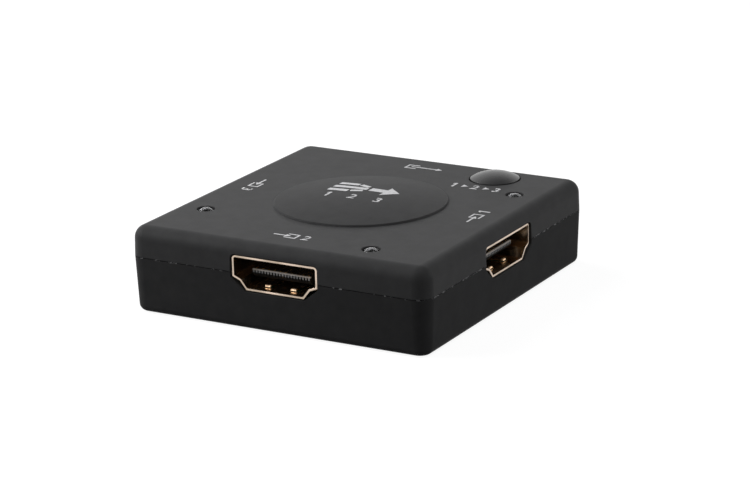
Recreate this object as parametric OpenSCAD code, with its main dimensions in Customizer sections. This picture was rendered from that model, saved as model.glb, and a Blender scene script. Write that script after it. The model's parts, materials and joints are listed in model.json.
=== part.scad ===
// Video switch box: three input sockets, one output socket and one selection button.
// The origin is under the middle of the box, +Z is up and the front socket faces -Y.

/* [Case] */
// Width of the case from the left face to the right face, at the seam
case_w = 51; // [50:0.5:60]
// Depth of the case from the front face to the back face, at the seam
case_d = 52.5; // [51.5:0.5:62]
// Height of the flat top above the table
case_h = 13.5; // [13.2:0.1:16]
// Height of the seam between the halves, which the sockets are centred on
seam_z = 8.8; // [8.5:0.1:9.1]
// Thickness of the side walls
wall = 1.5; // [1.3:0.05:1.8]
// Thickness of the lid
lid_t = 1.5; // [1.3:0.05:1.6]
// Thickness of the floor
floor_t = 1.5; // [1.2:0.05:2]
// Radius of the four upright corners
corner_r = 2.4; // [2.2:0.05:3]
// Radius of the edge round the top
top_edge_r = 2; // [1.2:0.05:2]
// Radius of the edge round the bottom
bottom_edge_r = 1.1; // [0.6:0.05:1.5]
// How far the lid's side leans in from the seam to the top
upper_draft = 0.14; // [0.05:0.01:0.18]
// How far the tray's side leans in from the seam to the bottom
lower_draft = 0.38; // [0.1:0.01:0.5]
// Bevel of each half's outer edge at the seam
seam_bevel = 0.08; // [0.04:0.01:0.15]
// Bevel of the upper edge of the lid's round holes
hole_bevel = 0.1; // [0.05:0.05:0.3]
// Height of the tray's lip above the seam
lip_h = 0.8; // [0.5:0.05:1.2]
// Thickness of the tray's lip
lip_t = 0.6; // [0.4:0.05:0.7]

/* [Raised disc] */
// Diameter of the raised disc in the middle of the top
disc_d = 27; // [20:0.5:30]
// Height of the disc's rounded rim
disc_rise = 0.3; // [0.2:0.05:0.6]
// Height of the disc's crown above its rim
disc_crown = 0.75; // [0.3:0.05:0.8]

/* [Sockets] */
// Outer width of a socket shell
socket_w = 14.6; // [14.4:0.05:15]
// Outer height of a socket shell
socket_h = 5.2; // [5.15:0.05:5.4]
// Length of a socket shell
shell_l = 11; // [10.5:0.1:11.5]
// Thickness of the shell's sheet metal
shell_t = 0.3; // [0.25:0.01:0.4]
// Depth of the shell's rim behind the case's face
socket_recess = 0.3; // [0.1:0.05:0.6]
// Gap between the shell and the case's opening
socket_gap = 0.2; // [0.1:0.05:0.6]
// Radius of the shell's two upper corners
socket_corner_r = 0.6; // [0.45:0.05:0.9]
// Height of the foot of the shell's upright sides
socket_step_h = 1.9; // [1.7:0.05:2.2]
// Height of the knee where the shell turns to its slanted sides
socket_knee_h = 1.37; // [1.2:0.01:1.5]
// How far the knee lies inside the shell's upright sides
socket_knee_in = 1.3; // [1.1:0.05:1.5]
// How far the flat bottom's end lies inside the shell's upright sides
socket_foot_in = 2.38; // [2.2:0.01:2.6]
// Width of a spring finger in the shell
spring_w = 0.9; // [0.7:0.05:1.1]
// How far a spring finger stands into the socket
spring_lift = 0.36; // [0.2:0.01:0.36]
// Distance of the lower spring fingers from the socket's middle
lower_spring_x = 2.2; // [1.5:0.05:2.8]
// Distance of the upper spring fingers from the socket's middle
upper_spring_x = 3.6; // [2:0.05:4.5]
// Width of a shell leg that passes through the board
leg_w = 1.2; // [0.9:0.05:1.6]

/* [Tongues and contacts] */
// Distance between neighbouring contacts of both rows
contact_pitch = 0.5; // [0.48:0.01:0.52]
// Number of contacts in a socket, an odd number
contact_count = 19; // [15:2:19]
// Width of a contact
contact_w = 0.3; // [0.2:0.01:0.34]
// Thickness of a contact
contact_t = 0.2; // [0.15:0.01:0.25]
// Thickness of the tongue
tongue_t = 1.3; // [1.1:0.05:1.5]
// Height of the tongue's upper side above the socket's middle
tongue_up = 0.2; // [0:0.05:0.4]
// Distance of the tongue's nose behind the shell's rim
tongue_back = 1.95; // [1.8:0.05:2.2]
// Height of the flat front of the tongue's nose
nose_h = 0.6; // [0.5:0.02:0.7]
// Length of the block that holds the tongue at the back of the shell
block_l = 2.8; // [2.2:0.1:3]

/* [Board] */
// Thickness of the circuit board
board_t = 1.6; // [1.2:0.1:1.8]
// Gap between the board's edge and the case's walls
board_gap = 0.3; // [0.2:0.05:0.6]

/* [Lamps] */
// Diameter of a lamp
lamp_d = 2.3; // [2.2:0.1:3]
// Height of a lamp from its flange to its tip
lamp_l = 5.2; // [4.8:0.1:5.4]
// Height of a lamp's tip above the top
lamp_rise = 0.2; // [0.05:0.05:0.3]
// Gap between a lamp and its hole in the lid
lamp_gap = 0.25; // [0.05:0.01:0.3]
// Distance of a lamp's middle from the case's face
lamp_edge = 5.8; // [5.2:0.05:6.4]
// Distance of a lamp's middle from the middle of its face
lamp_along = 13.35; // [12.5:0.05:14]
// Thickness of a lamp's square leads
lead_t = 0.5; // [0.4:0.02:0.6]
// Distance between a lamp's two leads
lead_pitch = 1.7; // [1.6:0.05:2.2]

/* [Button] */
// Diameter of the button
button_d = 7.8; // [7.2:0.1:8]
// Gap between the button and its hole in the lid
button_gap = 0.16; // [0.1:0.02:0.3]
// Height of the button's crown above the top
button_rise = 1.15; // [0.9:0.05:1.5]
// Height of the button's upright edge above the top
button_edge_h = 0.1; // [0.05:0.05:0.4]
// How far the button's middle lies past midway between the back socket and the screw post
button_along = 0.025; // [-0.3:0.025:0.3]
// Distance of the button's middle from the back face
button_edge = 6.15; // [6:0.05:6.5]
// Travel of the button
button_travel = 0.25; // [0.15:0.01:0.3]
// How far the button's three ears reach past its side
ear_reach = 0.6; // [0.4:0.05:0.8]
// Width of an ear
ear_w = 2.4; // [1.6:0.1:3]
// Thickness of an ear
ear_t = 0.5; // [0.4:0.05:0.6]
// Wall of the hollow button
button_wall = 0.9; // [0.7:0.05:1.2]

/* [Push switch] */
// Width of the push switch's square base
switch_w = 6; // [5.6:0.1:6.2]
// Height of the push switch's base
switch_h = 3.2; // [3:0.1:3.3]
// Thickness of the push switch's steel cover
switch_cover_t = 0.3; // [0.2:0.02:0.4]
// Height of the plunger's top above the board
plunger_h = 5; // [4.8:0.05:5]
// Diameter of the plunger above the cover
plunger_d = 3.5; // [3:0.1:3.7]
// Diameter of the plunger's flange under the cover
plunger_flange_d = 4.5; // [4.2:0.1:4.7]
// Height of the snap dome when the button is down
snap_low = 0.17; // [0.14:0.01:0.25]
// Thickness of the snap dome
snap_t = 0.1; // [0.06:0.01:0.14]
// Width of a terminal
terminal_w = 0.7; // [0.5:0.05:0.9]
// Thickness of a terminal
terminal_t = 0.3; // [0.2:0.02:0.4]

/* [Chips] */
// Width of the square switch chip
chip_w = 10; // [8.6:0.2:11]
// Height of the switch chip's body
chip_h = 1.4; // [1:0.05:1.8]
// Number of leads on each side of the switch chip
chip_leads = 16; // [8:1:16]
// Length of the control chip
control_l = 5; // [4.4:0.1:5.4]
// Width of the control chip
control_w = 3.9; // [3.4:0.1:4.4]
// Length of a chip resistor or capacitor
small_l = 1.6; // [1.2:0.1:2]
// Width of a chip resistor or capacitor
small_w = 0.8; // [0.5:0.05:1]

/* [Screws] */
// Diameter of a screw's shank
screw_d = 1.9; // [1.6:0.05:2.1]
// Length of a screw's shank
screw_l = 8; // [6.5:0.25:8.5]
// Diameter of a screw's head
head_d = 3.6; // [3.2:0.1:3.8]
// Height of a screw's head
head_h = 1.3; // [1:0.05:1.5]
// Depth of a screw's head inside the bottom
head_recess = 0.6; // [0.3:0.05:0.8]
// Diameter of a screw post
post_d = 5.2; // [4.9:0.1:5.4]
// Distance of a screw's axis from both faces beside it
post_edge = 4.6; // [4.5:0.05:4.8]

/* [Hidden] */
$fn = 64;
crown_fn = 720;
dome_fn = 180;

// How far a cut or a joined piece runs past the face that it crosses
over = 0.4;

// Turn of each socket about the upright axis, from the front
front_turn = 0;
right_turn = 90;
back_turn = 180;
left_turn = 270;
turns = [front_turn, right_turn, back_turn, left_turn];
lamp_turns = [right_turn, front_turn, left_turn];

// Case
face_x = case_w / 2;
face_y = case_d / 2;
lid_under = case_h - lid_t;
least_inner_r = 0.5;
inner_r = max(corner_r - wall, least_inner_r);
lip_gap = 0.1;
edge_spare = 0.05;
top_r = min(top_edge_r, corner_r - upper_draft - edge_spare);
bottom_r = min(bottom_edge_r, corner_r - lower_draft - edge_spare);

// Sockets
socket_z = seam_z - socket_h / 2;
half_w = socket_w / 2;
spring_slot = 0.2;
spring_tip_r = 0.22;
lower_spring = [1.65, 2.6, 7];
upper_spring = [3.3, 4.4, 7.4];
leg_depths = [3.4, 9.2];
leg_below = 0.7;
leg_gap = 0.12;

// Board
board_z = socket_z - board_t;
board_w = case_w - 2 * (wall + lower_draft + board_gap);
board_d = case_d - 2 * (wall + lower_draft + board_gap);
board_corner_r = 1;

// Tongues and contacts
contact_gap = 0.03;
block_gap = 0.05;
block_in = 0.2;
block_from = shell_l - block_in - block_l;
tongue_side = 0.5;
tongue_w = (contact_count - 1) * contact_pitch + 2 * tongue_side;
tongue_top = seam_z + tongue_up;
tongue_bottom = tongue_top - tongue_t;
nose_bevel = 0.12;
nose_strip = 0.22;
nose_slot = 0.3;
nose_slot_share = 0.46;
upper_tip = 0.6;
lower_tip = 1.2;
tail_upper = 0.9;
tail_lower = 0.6;
tail_foot = 1.6;

// Lamps
lamp_z = case_h + lamp_rise - lamp_l;
lamp_flange_out = 0.3;
lamp_flange_d = lamp_d + 2 * lamp_flange_out;
lamp_flange_h = 0.9;
lead_below = 0.9;
lead_hole_gap = 0.15;
lead_hole_d = lead_t * sqrt(2) + 2 * lead_hole_gap;

// Screws
post_x = face_x - post_edge;
post_y = face_y - post_edge;
head_gap = 0.25;
shank_gap = 0.02;
clear_gap = 0.15;
tip_room = 0.4;
head_seat = head_recess + head_h;
cross_w = 0.55;
cross_l = 2.2;
cross_d = 0.7;

// Button and push switch
button_x = (half_w + post_x - post_d / 2) / 2 + button_along;
button_y = face_y - button_edge;
plunger_top = socket_z + plunger_h;
press_gap = 0.05;
ear_gap = 0.1;
ear_top = lid_under - ear_gap;
ear_turns = [50, 130, 270];
stem_d = 3.2;
well_gap = 0.15;
switch_well_d = plunger_flange_d + 2 * well_gap;
switch_floor = 0.8;
plunger_hole_gap = 0.15;
flange_h = 0.6;
flange_gap = 0.05;
plunger_stem_d = 2.4;
snap_in = 0.15;
snap_d = plunger_flange_d - 2 * snap_in;
snap_gap = 0.03;
snap_h = snap_low + button_travel;
terminal_out = 0.3;
terminal_y = 2.25;
terminal_rise = 0.6;
terminal_below = 0.9;
terminal_hole_gap = 0.15;

// Chips
chip_taper = 0.25;
chip_stand = 0.1;
chip_lead_pitch = 0.5;
chip_lead_w = 0.22;
chip_lead_t = 0.15;
chip_lead_out = 1;
control_h = 1.45;
control_leads = 4;
control_lead_pitch = 1.27;
control_lead_w = 0.4;
control_lead_t = 0.2;
control_side = 11.5;
control_back = 9.75;
control_x = control_side - face_x;
control_y = face_y - control_back;
resistor_h = 0.45;
capacitor_h = 0.8;
resistor_row = [-3, -1, 1, 3];
resistor_reach = 8.6;
capacitor_reach = 8.4;
small_step = 1.3;

function face(turn) = turn % 180 == 0 ? face_y : face_x;
function unit(v) = v / norm(v);
function outward(a, b) = [unit(b - a)[1], -unit(b - a)[0]];

// Corner p of an outline, moved out by g square to the edges from a and to b
function grown(a, p, b, g) =
    p + g * (outward(a, p) + outward(p, b)) / (1 + outward(a, p) * outward(p, b));

function mirrored(points) = [for (i = [len(points) - 1:-1:0]) [-points[i][0], points[i][1]]];

// Right side of the socket's outline from its foot to its upper corner, grown by g
function socket_side(g, knee) =
    let (
        middle = [0, 0],
        foot = [half_w - socket_foot_in, 0],
        bend = [half_w - socket_knee_in, socket_knee_h],
        step = [half_w, socket_step_h],
        high = [half_w, socket_h]
    )
    concat(
        [grown(middle, foot, knee ? bend : step, g)],
        knee ? [grown(foot, bend, step, g)] : [],
        [grown(knee ? bend : foot, step, high, g)],
        [[half_w + g, socket_h - socket_corner_r]],
        [[half_w - socket_corner_r, socket_h + g]]
    );

// Socket outline above its own bottom line, with or without the knee in its sides
module socket_outline(g, knee = true) {
    side = socket_side(g, knee);
    polygon(concat(side, mirrored(side)));
    for (s = [-1, 1])
        translate([s * (half_w - socket_corner_r), socket_h - socket_corner_r])
            circle(socket_corner_r + g);
}

module rounded_rect(w, d, r) {
    square([w - 2 * r, d], center = true);
    square([w, d - 2 * r], center = true);
    for (sx = [-1, 1], sy = [-1, 1])
        translate([sx * (w / 2 - r), sy * (d / 2 - r)])
            circle(r);
}

// Quarter of a disc, the shape of a rounded edge
module quarter_disc(r) {
    intersection() {
        circle(r);
        square(r);
    }
}

// Section of a case half from the corner's axis out: seam at 0, outer face at height
module half_section(r, height, draft, edge_r) {
    lean = atan(draft / height);
    arc_y = height - edge_r;
    arc_x = r - draft * arc_y / height - edge_r / cos(lean);
    polygon([
        [0, 0],
        [r - seam_bevel, 0],
        [r - draft * seam_bevel / height, seam_bevel],
        [arc_x + edge_r * cos(lean), arc_y + edge_r * sin(lean)],
        [arc_x, height],
        [0, height]
    ]);
    translate([arc_x, arc_y])
        quarter_disc(edge_r);
}

// Sweeps a section round the four corners and sides of the case, and fills the middle
module case_sweep(height) {
    for (quarter = [0:3]) {
        reach_x = (quarter % 2 == 0 ? face_x : face_y) - corner_r;
        reach_y = (quarter % 2 == 0 ? face_y : face_x) - corner_r;
        rotate([0, 0, 90 * quarter]) {
            translate([reach_x, reach_y, 0])
                rotate_extrude(angle = 90)
                    children();
            translate([reach_x, 0, 0])
                rotate([90, 0, 0])
                    linear_extrude(2 * reach_y, center = true)
                        children();
        }
    }
    translate([corner_r - face_x, corner_r - face_y, 0])
        cube([case_w - 2 * corner_r, case_d - 2 * corner_r, height]);
}

// Upright block with the plan of the case, moved in from the faces by inset
module case_block(z_from, z_to, inset, r) {
    translate([0, 0, z_from])
        linear_extrude(z_to - z_from)
            rounded_rect(case_w - 2 * inset, case_d - 2 * inset, r);
}

// Places children at a socket: x along the face, y into the case, z up
module at_socket(turn) {
    rotate([0, 0, turn])
        translate([0, -face(turn), 0])
            children();
}

// Extrudes an outline in x and z along the depth of a socket
module along_depth(from, to) {
    translate([0, to, 0])
        rotate([90, 0, 0])
            linear_extrude(to - from)
                children();
}

// Extrudes a side view in depth and height over a width that is centred on x
module along_width(w) {
    rotate([90, 0, 90])
        linear_extrude(w, center = true)
            children();
}

module at_posts() {
    for (sx = [-1, 1], sy = [-1, 1])
        translate([sx * post_x, sy * post_y, 0])
            children();
}

module at_button() {
    translate([button_x, button_y, 0])
        children();
}

module socket_openings() {
    for (turn = turns)
        at_socket(turn)
            along_depth(-over, wall + over)
                translate([0, socket_z])
                    socket_outline(socket_gap, knee = false);
}

// Hole of diameter d through the lid, with a bevelled upper edge
module lid_hole(d) {
    translate([0, 0, lid_under - over])
        cylinder(d = d, h = lid_t + 2 * over);
    translate([0, 0, case_h - hole_bevel])
        cylinder(d1 = d, d2 = d + 2 * (hole_bevel + over), h = hole_bevel + over);
}

module raised_disc() {
    flat_r = disc_d / 2 - disc_rise;
    crown_r = (flat_r * flat_r + disc_crown * disc_crown) / (2 * disc_crown);
    translate([0, 0, case_h])
        rotate_extrude() {
            translate([0, -over])
                square([disc_d / 2, over]);
            square([flat_r, disc_rise]);
            translate([flat_r, 0])
                quarter_disc(disc_rise);
            translate([0, disc_rise])
                intersection() {
                    translate([0, disc_crown - crown_r])
                        circle(crown_r, $fn = crown_fn);
                    square([flat_r, disc_crown]);
                }
        }
}

module upper_case() {
    color("#2b2b2c")
        difference() {
            union() {
                difference() {
                    translate([0, 0, seam_z])
                        case_sweep(case_h - seam_z)
                            half_section(corner_r, case_h - seam_z, upper_draft, top_r);
                    case_block(seam_z - over, lid_under, wall, inner_r);
                    case_block(
                        seam_z - over, seam_z + lip_h + lip_gap,
                        wall - lip_t - lip_gap, inner_r + lip_t + lip_gap
                    );
                }
                raised_disc();
                at_posts()
                    translate([0, 0, socket_z])
                        cylinder(d = post_d, h = lid_under + over - socket_z);
            }
            at_button()
                lid_hole(button_d + 2 * button_gap);
            for (turn = lamp_turns)
                at_socket(turn)
                    translate([lamp_along, lamp_edge, 0])
                        lid_hole(lamp_d + 2 * lamp_gap);
            socket_openings();
            at_posts()
                translate([0, 0, socket_z - over])
                    cylinder(
                        d = screw_d + 2 * shank_gap,
                        h = head_seat + screw_l + tip_room + over - socket_z
                    );
        }
}

module lower_case() {
    color("#252526")
        difference() {
            union() {
                difference() {
                    union() {
                        translate([0, 0, seam_z])
                            mirror([0, 0, 1])
                                case_sweep(seam_z)
                                    half_section(corner_r, seam_z, lower_draft, bottom_r);
                        case_block(seam_z - over, seam_z + lip_h, wall - lip_t, inner_r + lip_t);
                    }
                    case_block(floor_t, seam_z + lip_h + over, wall, inner_r);
                }
                at_posts()
                    translate([0, 0, floor_t - over])
                        cylinder(d = post_d, h = board_z - floor_t + over);
            }
            at_posts()
                translate([0, 0, -over]) {
                    cylinder(d = head_d + 2 * head_gap, h = head_seat + over);
                    cylinder(d = screw_d + 2 * clear_gap, h = board_z + 2 * over);
                }
            socket_openings();
        }
}

module main_board() {
    color("#1f5d3a")
        difference() {
            translate([0, 0, board_z])
                linear_extrude(board_t)
                    rounded_rect(board_w, board_d, board_corner_r);
            translate([0, 0, board_z - over]) {
                at_posts()
                    cylinder(d = screw_d + 2 * clear_gap, h = board_t + 2 * over);
                for (turn = lamp_turns, s = [-1, 1])
                    at_socket(turn)
                        translate([lamp_along + s * lead_pitch / 2, lamp_edge, 0])
                            cylinder(d = lead_hole_d, h = board_t + 2 * over);
                at_button()
                    at_terminals()
                        translate([terminal_out - terminal_t / 2, 0, 0])
                            cylinder(d = terminal_w + 2 * terminal_hole_gap, h = board_t + 2 * over);
                for (turn = turns)
                    at_socket(turn)
                        at_legs(leg_gap)
                            cube([shell_t + 2 * leg_gap, leg_w + 2 * leg_gap, board_t + 2 * over]);
            }
        }
}

module case_screws() {
    color("#8d8d90")
        at_posts()
            translate([0, 0, head_recess])
                difference() {
                    union() {
                        cylinder(d = head_d, h = head_h);
                        cylinder(d = screw_d, h = head_h + screw_l);
                    }
                    for (turn = [0, 90])
                        rotate([0, 0, turn])
                            translate([-cross_l / 2, -cross_w / 2, -over])
                                cube([cross_l, cross_w, cross_d + over]);
                }
}

// Places children at the low corner of each shell leg, with a gap all round
module at_legs(gap) {
    for (s = [0, 1], depth = leg_depths)
        translate([
            s * (socket_w - shell_t) - half_w - gap,
            socket_recess + depth - leg_w / 2 - gap,
            0
        ])
            children();
}

// Side view of a spring finger with a rounded tip, over the inner face of the sheet at height 0
module spring_side(depths) {
    tip = depths[0];
    crest = depths[1];
    root = depths[2] + over;
    polygon([
        [root, 0],
        [crest, spring_lift],
        [tip + spring_tip_r, spring_lift],
        [tip, spring_lift - spring_tip_r],
        [tip, spring_lift - shell_t],
        [crest, spring_lift - shell_t],
        [root, -shell_t]
    ]);
    translate([tip + spring_tip_r, spring_lift - spring_tip_r])
        mirror([1, 0])
            quarter_disc(spring_tip_r);
}

module spring_fingers(depths, x) {
    for (s = [-1, 1])
        translate([s * x, socket_recess, 0])
            along_width(spring_w)
                spring_side(depths);
}

module spring_slots(depths, x) {
    for (s = [-1, 1])
        translate([
            s * x - spring_w / 2 - spring_slot,
            socket_recess + depths[0] - spring_slot,
            -shell_t - over
        ])
            cube([
                spring_w + 2 * spring_slot,
                depths[2] - depths[0] + spring_slot,
                shell_t + 2 * over
            ]);
}

// Places children on the inner face of the shell's bottom
module on_shell_bottom() {
    translate([0, 0, socket_z + shell_t])
        children();
}

// Places children on the inner face of the shell's top, upside down
module on_shell_top() {
    translate([0, 0, socket_z + socket_h - shell_t])
        mirror([0, 0, 1])
            children();
}

module socket_shell(turn) {
    leg_z = board_z - leg_below;
    color("#c9a77c")
        at_socket(turn) {
            difference() {
                along_depth(socket_recess, socket_recess + shell_l)
                    translate([0, socket_z])
                        difference() {
                            socket_outline(0);
                            socket_outline(-shell_t);
                        }
                on_shell_bottom()
                    spring_slots(lower_spring, lower_spring_x);
                on_shell_top()
                    spring_slots(upper_spring, upper_spring_x);
            }
            on_shell_bottom()
                spring_fingers(lower_spring, lower_spring_x);
            on_shell_top()
                spring_fingers(upper_spring, upper_spring_x);
            translate([0, 0, leg_z])
                at_legs(0)
                    cube([shell_t, leg_w, socket_z + socket_step_h + over - leg_z]);
        }
}

// Sideways place of contact i, counted from the left
function contact_x(i) = (i - (contact_count - 1) / 2) * contact_pitch;

// Even contacts lie along the tongue's upper side, odd ones along its lower side
function is_upper(i) = i % 2 == 0;
function contact_z(i) = is_upper(i) ? tongue_top - contact_t : tongue_bottom;
function contact_tip(i) = socket_recess + tongue_back + (is_upper(i) ? upper_tip : lower_tip);

module socket_tongue(turn) {
    nose = socket_recess + tongue_back;
    block_y = socket_recess + block_from;
    slot_top = tongue_top - nose_strip;
    slot_w = contact_pitch * nose_slot_share;
    color("#3a3a3c")
        at_socket(turn)
            difference() {
                union() {
                    along_depth(block_y, block_y + block_l)
                        translate([0, socket_z])
                            socket_outline(-shell_t - block_gap);
                    along_width(tongue_w)
                        polygon([
                            [nose, tongue_top - nose_bevel],
                            [nose + nose_bevel, tongue_top],
                            [block_y + over, tongue_top],
                            [block_y + over, tongue_bottom],
                            [nose + tongue_t - nose_h, tongue_bottom],
                            [nose, tongue_top - nose_h]
                        ]);
                }
                for (i = [0:contact_count - 1]) {
                    translate([
                        contact_x(i) - contact_w / 2 - contact_gap,
                        contact_tip(i) - contact_gap,
                        contact_z(i) - contact_gap
                    ])
                        cube([
                            contact_w + 2 * contact_gap,
                            block_y + block_l + over - contact_tip(i),
                            contact_t + 2 * contact_gap
                        ]);
                    translate([contact_x(i) - slot_w / 2, nose - over, slot_top - nose_h])
                        cube([slot_w, nose_slot + over, nose_h]);
                }
            }
}

// Side view of a contact: along the tongue at height z, down behind the shell, foot on the board
module contact_side(tip, z, tail) {
    back = socket_recess + shell_l + tail;
    foot = socket_recess + shell_l + tail_foot;
    polygon([
        [tip, z],
        [tip, z + contact_t],
        [back, z + contact_t],
        [back, socket_z + contact_t],
        [foot, socket_z + contact_t],
        [foot, socket_z],
        [back - contact_t, socket_z],
        [back - contact_t, z]
    ]);
}

module socket_contacts(turn) {
    color("#d8b455")
        at_socket(turn)
            for (i = [0:contact_count - 1])
                translate([contact_x(i), 0, 0])
                    along_width(contact_w)
                        contact_side(contact_tip(i), contact_z(i), is_upper(i) ? tail_upper : tail_lower);
}

module lamp(turn) {
    dome_z = lamp_l - lamp_d / 2;
    color("#e8e8ea")
        at_socket(turn)
            translate([lamp_along, lamp_edge, lamp_z])
                difference() {
                    union() {
                        cylinder(d = lamp_flange_d, h = lamp_flange_h);
                        cylinder(d = lamp_d, h = dome_z);
                        translate([0, 0, dome_z])
                            sphere(d = lamp_d);
                    }
                    translate([lamp_d / 2, -lamp_flange_d / 2, -over])
                        cube([lamp_flange_d, lamp_flange_d, lamp_flange_h + 2 * over]);
                }
}

module lamp_leads(turn) {
    low = board_z - lead_below;
    color("#b9bbbf")
        at_socket(turn)
            for (s = [-1, 1])
                translate([lamp_along + s * lead_pitch / 2 - lead_t / 2, lamp_edge - lead_t / 2, low])
                    cube([lead_t, lead_t, lamp_z - low]);
}

module button_cap() {
    edge_z = case_h + button_edge_h;
    crown = button_rise - button_edge_h;
    crown_r = (pow(button_d / 2, 2) + crown * crown) / (2 * crown);
    skirt_z = ear_top - ear_t;
    hollow_z = case_h - button_wall;
    stem_z = plunger_top + press_gap;
    color("#2e2e30")
        at_button() {
            difference() {
                union() {
                    translate([0, 0, skirt_z])
                        cylinder(d = button_d, h = edge_z - skirt_z);
                    translate([0, 0, edge_z])
                        intersection() {
                            translate([0, 0, crown - crown_r])
                                sphere(crown_r, $fn = dome_fn);
                            cylinder(d = button_d, h = crown);
                        }
                    translate([0, 0, skirt_z])
                        intersection() {
                            cylinder(d = button_d + 2 * ear_reach, h = ear_t);
                            for (turn = ear_turns)
                                rotate([0, 0, turn])
                                    translate([0, -ear_w / 2, 0])
                                        cube([button_d, ear_w, ear_t]);
                        }
                }
                translate([0, 0, skirt_z - over])
                    cylinder(d = button_d - 2 * button_wall, h = hollow_z - skirt_z + over);
            }
            translate([0, 0, stem_z])
                cylinder(d = stem_d, h = hollow_z + over - stem_z);
        }
}

module tact_switch_base() {
    color("#1c1c1e")
        at_button()
            translate([0, 0, socket_z])
                difference() {
                    translate([-switch_w / 2, -switch_w / 2, 0])
                        cube([switch_w, switch_w, switch_h]);
                    translate([0, 0, switch_floor])
                        cylinder(d = switch_well_d, h = switch_h);
                }
}

module tact_switch_cover() {
    color("#c4c6ca")
        at_button()
            translate([0, 0, socket_z + switch_h])
                difference() {
                    translate([-switch_w / 2, -switch_w / 2, 0])
                        cube([switch_w, switch_w, switch_cover_t]);
                    translate([0, 0, -over])
                        cylinder(d = plunger_d + 2 * plunger_hole_gap, h = switch_cover_t + 2 * over);
                }
}

module tact_switch_plunger() {
    flange_top = switch_h - flange_gap;
    stem_z = switch_floor + snap_h + snap_gap;
    color("#202022")
        at_button()
            translate([0, 0, socket_z]) {
                translate([0, 0, stem_z])
                    cylinder(d = plunger_stem_d, h = flange_top - stem_z);
                translate([0, 0, flange_top - flange_h])
                    cylinder(d = plunger_flange_d, h = flange_h);
                translate([0, 0, flange_top - flange_h])
                    cylinder(d = plunger_d, h = plunger_h - flange_top + flange_h);
            }
}

module tact_switch_dome() {
    snap_r = (pow(snap_d / 2, 2) + snap_h * snap_h) / (2 * snap_h);
    color("#cfd1d4")
        at_button()
            translate([0, 0, socket_z + switch_floor])
                rotate_extrude()
                    intersection() {
                        translate([0, snap_h - snap_r])
                            difference() {
                                circle(snap_r, $fn = dome_fn);
                                circle(snap_r - snap_t, $fn = dome_fn);
                            }
                        square([snap_d / 2, snap_h]);
                    }
}

// Places children at the switch's four terminals, x pointing out of the base's side
module at_terminals() {
    for (turn = [0, 180], s = [-1, 1])
        rotate([0, 0, turn])
            translate([switch_w / 2, s * terminal_y, 0])
                children();
}

module tact_switch_terminals() {
    low = -board_t - terminal_below;
    color("#c8cacd")
        at_button()
            translate([0, 0, socket_z])
                at_terminals()
                    rotate([90, 0, 0])
                        linear_extrude(terminal_w, center = true)
                            polygon([
                                [0, terminal_rise],
                                [terminal_out, terminal_rise],
                                [terminal_out, low],
                                [terminal_out - terminal_t, low],
                                [terminal_out - terminal_t, terminal_rise - terminal_t],
                                [0, terminal_rise - terminal_t]
                            ]);
}

// Chip body with sides that slope away from its middle height
module chip_body(l, w, h) {
    intersection() {
        rotate([90, 0, 0])
            linear_extrude(w, center = true)
                chip_side(l, h);
        rotate([90, 0, 90])
            linear_extrude(l, center = true)
                chip_side(w, h);
    }
}

module chip_side(l, h) {
    low = chip_stand;
    high = chip_stand + h;
    middle = chip_stand + h / 2;
    polygon([
        [chip_taper - l / 2, low],
        [l / 2 - chip_taper, low],
        [l / 2, middle],
        [l / 2 - chip_taper, high],
        [chip_taper - l / 2, high],
        [-l / 2, middle]
    ]);
}

// Row of bent leads along y, leaving a chip's side at x = 0
module lead_row(count, pitch, w, t, rise, out) {
    knee = out / 2;
    for (i = [0:count - 1])
        translate([0, (i - (count - 1) / 2) * pitch, 0])
            rotate([90, 0, 0])
                linear_extrude(w, center = true)
                    polygon([
                        [0, rise],
                        [0, rise + t],
                        [knee, rise + t],
                        [knee, t],
                        [out, t],
                        [out, 0],
                        [knee - t, 0],
                        [knee - t, rise]
                    ]);
}

module switch_chip() {
    color("#17181a")
        translate([0, 0, socket_z])
            chip_body(chip_w, chip_w, chip_h);
}

module switch_chip_leads() {
    color("#bfc1c5")
        translate([0, 0, socket_z])
            for (turn = turns)
                rotate([0, 0, turn])
                    translate([chip_w / 2, 0, 0])
                        lead_row(
                            chip_leads, chip_lead_pitch, chip_lead_w, chip_lead_t,
                            chip_stand + chip_h / 2 - chip_lead_t / 2, chip_lead_out
                        );
}

module control_chip() {
    color("#17181a")
        translate([control_x, control_y, socket_z])
            chip_body(control_w, control_l, control_h);
}

module control_chip_leads() {
    color("#bfc1c5")
        translate([control_x, control_y, socket_z])
            for (turn = [0, 180])
                rotate([0, 0, turn])
                    translate([control_w / 2, 0, 0])
                        lead_row(
                            control_leads, control_lead_pitch, control_lead_w, control_lead_t,
                            chip_stand + control_h / 2 - control_lead_t / 2, chip_lead_out
                        );
}

module small_part(h) {
    translate([-small_l / 2, -small_w / 2, 0])
        cube([small_l, small_w, h]);
}

module chip_resistors() {
    color("#2a2a2d")
        translate([0, 0, socket_z])
            for (turn = turns, step = resistor_row)
                rotate([0, 0, turn])
                    translate([resistor_reach, step * small_step, 0])
                        small_part(resistor_h);
}

module chip_capacitors() {
    color("#b59a76")
        translate([0, 0, socket_z])
            for (turn = turns)
                rotate([0, 0, turn])
                    translate([capacitor_reach, capacitor_reach, 0])
                        rotate([0, 0, 45])
                            small_part(capacitor_h);
}

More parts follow.
